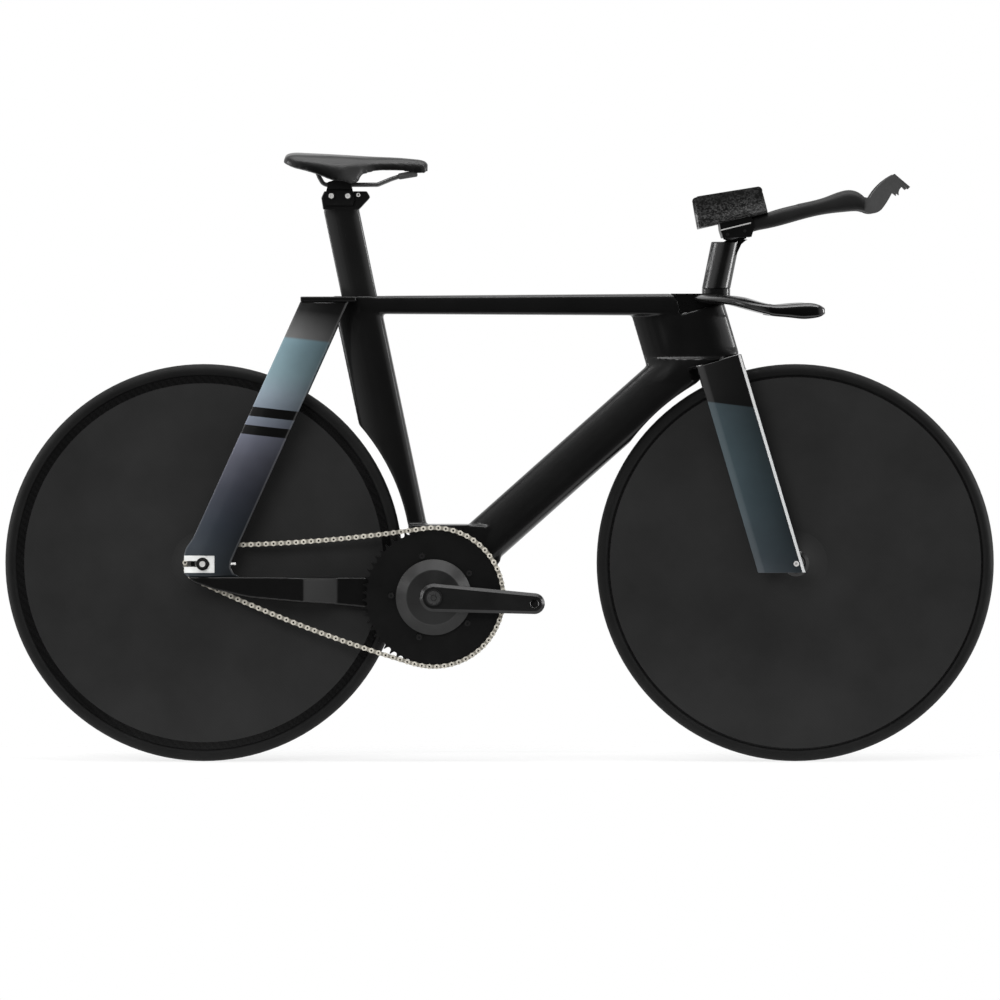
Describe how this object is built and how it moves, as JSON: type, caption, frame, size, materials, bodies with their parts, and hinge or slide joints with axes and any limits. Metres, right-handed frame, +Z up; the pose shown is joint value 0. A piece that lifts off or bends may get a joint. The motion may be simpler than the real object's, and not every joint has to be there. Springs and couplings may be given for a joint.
{
  "type": "time trial bicycle",
  "caption": "Track time trial bicycle with aerofoil frame, wide-set stays and fork, disc wheels, fixed chain drive and tilting arm rests on a riser.",
  "frame": {"origin": "on the ground, midway between the two axles, on the middle plane", "axes": "+X forward, +Y to the rider's left, +Z up; the drive side faces -Y"},
  "size_m": [1.672, 0.4, 1.0282],
  "materials": {
    "frame_carbon": "satin black",
    "stay_paint": "grey fading to teal grey and black, gloss",
    "fork_paint": "black with dark teal legs, gloss",
    "bearing_steel": "brushed",
    "dropout_steel": "brushed",
    "bolt_steel": "brushed",
    "chain_steel": "polished",
    "cog_steel": "brushed",
    "ring_alloy": "black anodised",
    "meter_alloy": "black anodised",
    "crank_alloy": "black anodised",
    "black_alloy": "black anodised",
    "disc_carbon": "satin black",
    "rim_carbon": "gloss black",
    "hub_alloy": "black anodised",
    "tyre_rubber": "matt",
    "bar_carbon": "satin black",
    "riser_alloy": "satin black",
    "cup_carbon": "flecked grey, gloss",
    "pad_foam": "matt black foam",
    "grip_plastic": "matt black",
    "post_carbon": "satin black",
    "saddle_skin": "satin black",
    "shell_plastic": "matt black",
    "rail_steel": "dark brushed"
  },
  "bodies": {
    "frame": {"front_triangle": "frame_carbon", "headset_bearings": "bearing_steel", "bottom_bracket_bearings": "bearing_steel", "seatstay_right": "stay_paint", "seatstay_left": "stay_paint", "chainstay_right": "frame_carbon", "chainstay_left": "frame_carbon", "seatstay_bridge": "stay_paint", "dropout_inserts": "dropout_steel", "chain_tension_screws": "bolt_steel", "rear_axle": "bolt_steel", "rear_axle_nuts": "bolt_steel", "chain_inner_links": "chain_steel", "chain_outer_links": "chain_steel", "seatpost_wedge": "black_alloy", "seatpost_wedge_bolt": "bolt_steel"},
    "rear_wheel": {"rear_tyre": "tyre_rubber", "rear_rim": "rim_carbon", "rear_disc_right": "disc_carbon", "rear_disc_left": "disc_carbon", "rear_hub": "hub_alloy", "rear_hub_bearings": "bearing_steel", "rear_cog": "cog_steel", "rear_lockring": "black_alloy"},
    "crankset": {"crank_spindle": "bolt_steel", "crank_arm_right": "crank_alloy", "crank_arm_left": "crank_alloy", "crank_bolts": "black_alloy", "power_meter": "meter_alloy", "chainring": "ring_alloy", "chainring_bolts": "bolt_steel"},
    "front_end": {"fork": "fork_paint", "front_axle": "bolt_steel", "front_axle_bolts": "bolt_steel", "base_bar": "bar_carbon", "stem_cap": "black_alloy", "riser_spacer": "riser_alloy", "riser": "riser_alloy"},
    "front_wheel": {"front_tyre": "tyre_rubber", "front_rim": "rim_carbon", "front_disc_right": "disc_carbon", "front_disc_left": "disc_carbon", "front_hub": "hub_alloy", "front_hub_bearings": "bearing_steel"},
    "arm_rests": {"extension_cradle": "black_alloy", "extension_right": "bar_carbon", "extension_left": "bar_carbon", "arm_cup_right": "cup_carbon", "arm_cup_left": "cup_carbon", "arm_pad_right": "pad_foam", "arm_pad_left": "pad_foam", "tilt_pin": "bolt_steel", "hand_grips": "grip_plastic"},
    "seatpost": {"seatpost": "post_carbon"},
    "clamp": {"saddle_clamp": "black_alloy", "saddle_clamp_bolts": "bolt_steel"},
    "saddle": {"saddle_cover": "saddle_skin", "saddle_shell": "shell_plastic", "saddle_rails": "rail_steel"}
  },
  "joints": [
    {"name": "steering", "type": "hinge", "parent": "frame", "child": "front_end", "pos_m": [0.45973, 0, 0.32407], "axis": [-0.284, 0, 0.9588], "range_deg": [-30, 30]},
    {"name": "front_wheel_spin", "type": "hinge", "parent": "front_end", "child": "front_wheel", "pos_m": [0.5, 0, 0.336], "axis": [0, 1, 0], "continuous": true},
    {"name": "rear_wheel_spin", "type": "hinge", "parent": "frame", "child": "rear_wheel", "pos_m": [-0.5, 0, 0.336], "axis": [0, 1, 0], "continuous": true, "deforming": ["chain_inner_links", "chain_outer_links"]},
    {"name": "crank_spin", "type": "hinge", "parent": "frame", "child": "crankset", "pos_m": [-0.11095, 0, 0.279], "axis": [0, 1, 0], "continuous": true},
    {"name": "extension_tilt", "type": "hinge", "parent": "front_end", "child": "arm_rests", "pos_m": [0.39681, 0, 0.89352], "axis": [0, 1, 0], "range_deg": [-8, 10]},
    {"name": "seatpost_height", "type": "slide", "parent": "frame", "child": "seatpost", "axis": [-0.2045, 0, 0.9789], "range_m": [-0.035, 0.04]},
    {"name": "saddle_tilt", "type": "hinge", "parent": "seatpost", "child": "clamp", "pos_m": [-0.25617, 0, 0.9558], "axis": [0, 1, 0], "range_deg": [-4, 4]},
    {"name": "saddle_setback", "type": "slide", "parent": "clamp", "child": "saddle", "axis": [1, 0, 0], "range_m": [-0.03, 0]}
  ],
  "couplings": [
    {"joint": "crank_spin", "follows": "rear_wheel_spin", "ratio": 0.25862}
  ]
}
